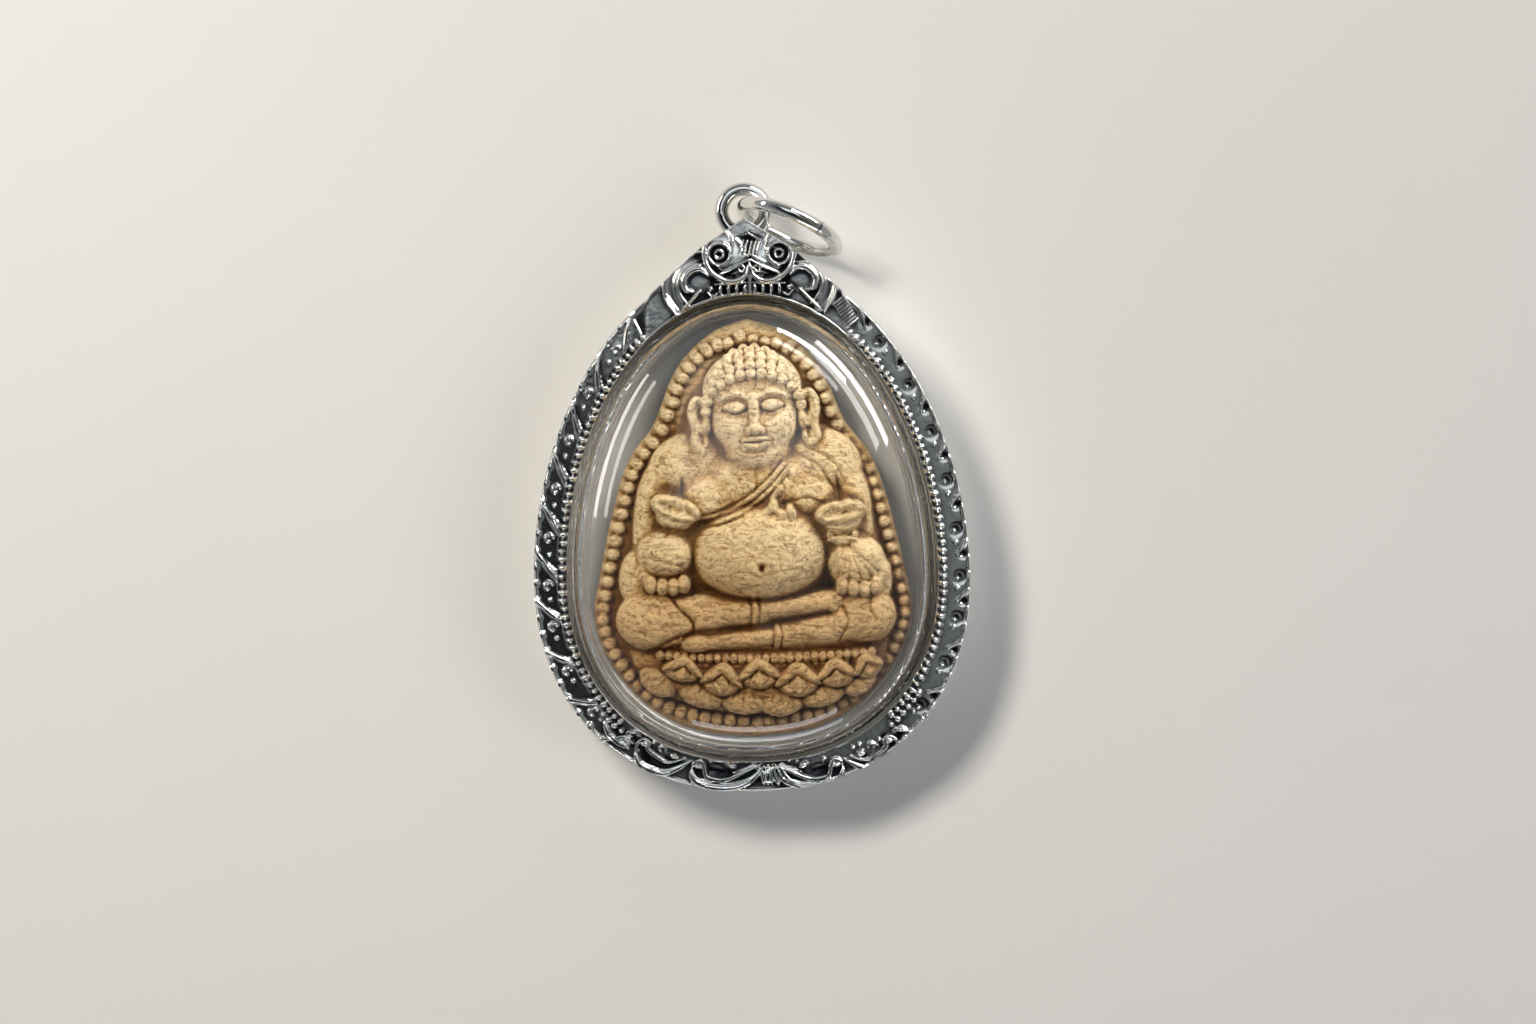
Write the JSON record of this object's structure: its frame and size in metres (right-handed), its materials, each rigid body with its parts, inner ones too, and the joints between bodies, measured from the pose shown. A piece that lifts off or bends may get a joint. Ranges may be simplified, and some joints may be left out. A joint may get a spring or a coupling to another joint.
{
  "type": "amulet pendant in a clear case",
  "caption": "Egg-shaped clay amulet in a clear domed case with a relief silver frame, a crown plate, an eye loop and a jump ring.",
  "frame": {"origin": "middle of the box that holds the pendant, on the surface that its flat back rim lies on", "axes": "+Z out of the front of the amulet, +Y towards its crown and eye, +X to the right seen from the front"},
  "size_m": [0.034, 0.0478, 0.011],
  "materials": {
    "cast_silver": "bright cast silver with darkened recesses",
    "clear_acrylic": "clear polished acrylic",
    "fired_clay": "unglazed pale ochre clay, finely cracked and pitted",
    "polished_silver": "polished silver wire"
  },
  "bodies": {
    "root": {"silver_frame": "cast_silver", "front_dome": "clear_acrylic", "back_tray": "clear_acrylic", "clay_amulet": "fired_clay", "jump_ring": "polished_silver"}
  },
  "joints": []
}
